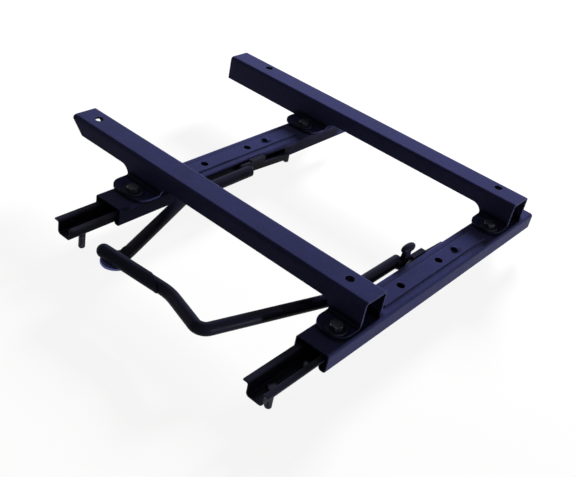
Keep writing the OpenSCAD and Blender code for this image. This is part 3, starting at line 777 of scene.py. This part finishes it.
    def spade_rings(self, neck: Vector, spade: Vector) -> list[list[Vector]]:
        """Flattens the tube's end into the round spade.

        Args:
            neck: Where the round tube ends.
            spade: Middle of the spade.

        Returns:
            Rings from the neck to the spade's far edge.
        """
        along = Vector((spade.x - neck.x, spade.y - neck.y, 0))
        to_middle, along = along.length, along.normalized()
        disc, tube = self.spade_r * MM, self.tube_r * MM
        count = self.steps * 3
        rings = []
        for k in range(1, count + 1):
            s = (to_middle + disc) * math.sin(math.pi / 2 * k / count)
            flat = min(1.0, s / (to_middle - disc * self.flat_by))
            ease = flat * flat * (3 - 2 * flat)
            beyond = (s - to_middle) / disc
            round_part = disc * math.sqrt(max(0.0, 1 - beyond * beyond)) if beyond > -1 else 0.0
            width = max(round_part, tube * (1 - self.draw_in * ease)) if beyond < 0 else round_part
            place = Vector((neck.x, neck.y, neck.z + (spade.z - neck.z) * ease)) + along * s
            height = tube + (self.spade_t / 2 * MM - tube) * ease
            rings.append(ring(place, along, max(width, self.tip * MM), height, self.sides, 2 + self.squareness * ease))
        return rings

    def bead(self, name: str, start: Vector, end: Vector) -> bpy.types.Object:
        """Lays a rippled weld bead along a straight seam.

        Args:
            name: Piece name.
            start: Start of the bead, in metres.
            end: End of the bead.

        Returns:
            The bead.
        """
        along = (end - start).normalized()
        length = (end - start).length / MM
        count = int(length * self.bead_steps_per_mm)
        rings = []
        for k in range(count + 1):
            s = length * k / count
            taper = math.sqrt(max(self.bead_end, 1 - (2 * s / length - 1) ** self.bead_fullness))
            ripple = 1 - self.ripple_depth * (1 - abs(math.sin(math.pi * s / self.ripple_mm)))
            radius = self.bead_r * taper * ripple * MM
            rings.append(ring(start.lerp(end, k / count), along, radius, radius * self.bead_flat, self.bead_sides))
        return make_piece(name, *skin(rings, False), TUBE_ENAMEL, smooth_deg=80)

    def build_welds(self) -> list[bpy.types.Object]:
        """Lays a bead above and below each tube where it meets its lever.

        Returns:
            The beads.
        """
        beads = []
        for side, x, inward in (("left", self.arm[0][0], -1), ("right", self.corners[-1][0], 1)):
            for level, lift in (("upper", 1), ("lower", -1)):
                place = Vector((x + inward * (self.tube_r - self.bead_sink), self.arm[0][1] - self.bead_start,
                                self.bar_z + lift * self.bead_lift))
                far = place - REAR * self.bead_len
                beads.append(self.bead(f"{side}_lever_weld_{level}", place * MM, far * MM))
        return beads

    def build_rivet(self) -> bpy.types.Object:
        """Turns the domed rivet head under the spade, which holds it to the bar.

        Returns:
            The rivet head.
        """
        under = Vector((self.spade[0], self.spade[1], self.spade[2] - self.spade_t / 2)) * MM
        rings = turned(under, -UP, [(length * MM, radius * MM) for length, radius in self.rivet], self.rivet_sides)
        return make_piece("spade_rivet_head", *skin(rings, False), PHOSPHATED_STEEL, smooth_deg=60)

    def build(self) -> None:
        """Builds the handle's pieces and lets them ride on the release handle."""
        settle(self.build_bar(), Body.HANDLE)
        settle(self.build_grip(), Body.HANDLE)
        settle(self.build_arm(), Body.HANDLE)
        settle(self.build_rivet(), Body.HANDLE)
        for piece in self.build_welds():
            settle(piece, Body.HANDLE)


@dataclass(frozen=True)
class Sun:
    """A soft lamp far away: the way towards it, its level on a white face square to it, and the angle it covers."""

    name: str
    source: Point
    level: float
    soft_deg: float


@dataclass
class Studio:
    """Camera of the photograph, pale floor and plain soft light."""

    eye: Point = (0.54836, -0.80720, 0.51798)
    azimuth: float = 33.95
    elevation: float = 33.60
    roll: float = 12.07
    lens_mm: float = 54.38
    sensor_mm: float = 36.0
    floor_m: float = 30.0
    floor_albedo: str = "#a29e82"
    # Share of the floor's white that takes shadow, the light it counts on, and where it fades to plain white
    floor_shade: float = 0.12
    floor_light: float = 0.9
    fade_m: tuple[float, float] = (0.6, 1.8)
    fill: str = "#403e33"
    softbox_at: Point = (-0.5, 1.9, 0.78)
    softbox_m: float = 0.45
    softbox_level: float = 0.97
    suns: tuple[Sun, ...] = (Sun("right_strip", (1.0, 0.1, 0.012), 0.75, 3.0),
                             Sun("left_strip", (-1.0, -0.1, 0.08), 0.35, 40.0))

    def build_camera(self) -> None:
        """Places the camera at the photograph's viewpoint."""
        turn, tilt, roll = (math.radians(v) for v in (self.azimuth, self.elevation, self.roll))
        forward = Vector((-math.sin(turn) * math.cos(tilt), math.cos(turn) * math.cos(tilt), -math.sin(tilt)))
        right = forward.cross(UP).normalized()
        up = right.cross(forward)
        across = right * math.cos(roll) + up * math.sin(roll)
        upward = up * math.cos(roll) - right * math.sin(roll)
        data = bpy.data.cameras.new("photo_camera")
        data.lens = self.lens_mm
        data.sensor_width = self.sensor_mm
        camera = bpy.data.objects.new("photo_camera", data)
        camera.matrix_world = Matrix.Translation(self.eye) @ Matrix((across, upward, -forward)).transposed().to_4x4()
        bpy.context.scene.collection.objects.link(camera)
        bpy.context.scene.camera = camera

    def seen(self, tree: bpy.types.NodeTree) -> Socket:
        """Gives 1 for rays from the camera, from gloss and through glass.

        Args:
            tree: Node tree that takes the nodes.

        Returns:
            The output socket.
        """
        rays = add_node(tree, "LightPath").outputs
        gloss = add_node(tree, "Math", {0: rays["Is Camera Ray"], 1: rays["Is Glossy Ray"]}, operation="MAXIMUM")
        return add_node(tree, "Math", {0: gloss.outputs[0], 1: rays["Is Transmission Ray"]},
                        operation="MAXIMUM").outputs[0]

    def build_floor(self) -> None:
        """Lays the pale floor under the stud tips, white far out and clear when seen from below."""
        half, level = self.floor_m / 2, CAD_BOX[0][2]
        mesh = bpy.data.meshes.new("floor")
        mesh.from_pydata([(x, y, level) for x, y in ((-half, -half), (half, -half), (half, half), (-half, half))], [],
                         [(0, 1, 2, 3)])
        floor = bpy.data.objects.new("floor", mesh)
        bpy.context.scene.collection.objects.link(floor)
        made = bpy.data.materials.new("pale_floor")
        made.use_nodes = True
        tree = made.node_tree
        tree.nodes.clear()
        seen = self.seen(tree)
        away = add_node(tree, "VectorMath", {0: add_node(tree, "TexCoord").outputs["Object"]}, operation="LENGTH")
        fade = add_node(tree, "MapRange", {"Value": away.outputs["Value"]}, From_Min=self.fade_m[0],
                        From_Max=self.fade_m[1], To_Min=1 - self.floor_shade * self.floor_light, To_Max=1.0)
        glow = add_node(tree, "Math", {0: seen, 1: fade.outputs[0]}, operation="MULTIPLY")
        tone = add_node(tree, "Mix", {SHARE: seen, FIRST: linear(self.floor_albedo),
                                      SECOND: (self.floor_shade, self.floor_shade, self.floor_shade, 1.0)},
                        data_type="RGBA")
        lit = add_node(tree, "BsdfDiffuse", {"Color": tone.outputs[MIXED]})
        shine = add_node(tree, "Emission", {"Strength": glow.outputs[0]})
        both = add_node(tree, "AddShader", {0: lit.outputs[0], 1: shine.outputs[0]})
        below = add_node(tree, "NewGeometry").outputs["Backfacing"]
        clear = add_node(tree, "BsdfTransparent").outputs[0]
        shown = add_node(tree, "MixShader", {0: below, 1: both.outputs[0], 2: clear})
        add_node(tree, "OutputMaterial", {"Surface": shown.outputs[0]})
        mesh.materials.append(made)

    def build_world(self) -> None:
        """Makes a white backdrop with a low fill of its own."""
        world = bpy.data.worlds.new("white_room")
        world.use_nodes = True
        tree = world.node_tree
        tree.nodes.clear()
        tone = add_node(tree, "Mix", {SHARE: self.seen(tree), FIRST: linear(self.fill), SECOND: linear("#ffffff")},
                        data_type="RGBA")
        back = add_node(tree, "Background", {"Color": tone.outputs[MIXED]})
        add_node(tree, "OutputWorld", {"Surface": back.outputs[0]})
        bpy.context.scene.world = world

    def add_sun(self, sun: Sun) -> None:
        """Adds a soft lamp that shines evenly from far away.

        Args:
            sun: The lamp.
        """
        data = bpy.data.lights.new(sun.name, "SUN")
        data.energy = sun.level * math.pi
        data.angle = math.radians(sun.soft_deg)
        lamp = bpy.data.objects.new(sun.name, data)
        lamp.rotation_euler = Vector(sun.source).to_track_quat("Z", "Y").to_euler()
        bpy.context.scene.collection.objects.link(lamp)

    def add_softbox(self) -> None:
        """Adds a square softbox behind on the left, whose level is that of a white level face at the origin."""
        away = Vector(self.softbox_at)
        data = bpy.data.lights.new("rear_left_softbox", "AREA")
        data.size = self.softbox_m
        data.energy = self.softbox_level * math.pi ** 2 * away.length ** 3 / away.z
        lamp = bpy.data.objects.new("rear_left_softbox", data)
        lamp.location = away
        lamp.rotation_euler = away.to_track_quat("Z", "Y").to_euler()
        # Its mirror image would flare on the pressings' tops
        lamp.visible_glossy = False
        bpy.context.scene.collection.objects.link(lamp)

    def build(self) -> None:
        """Builds the camera, the floor, the world and the lamps."""
        bpy.context.scene.view_settings.view_transform = "Standard"
        self.build_camera()
        self.build_floor()
        self.build_world()
        self.add_softbox()
        for sun in self.suns:
            self.add_sun(sun)


def main() -> None:
    """Builds the studio and dresses each sub-assembly in order."""
    logging.basicConfig(level=logging.INFO)
    Studio().build()
    Pressings().dress()
    RightLever().build()
    SlideParts().dress()
    FloorStuds().build()
    ReleaseHandle().build()


if __name__ == "__main__":
    main()
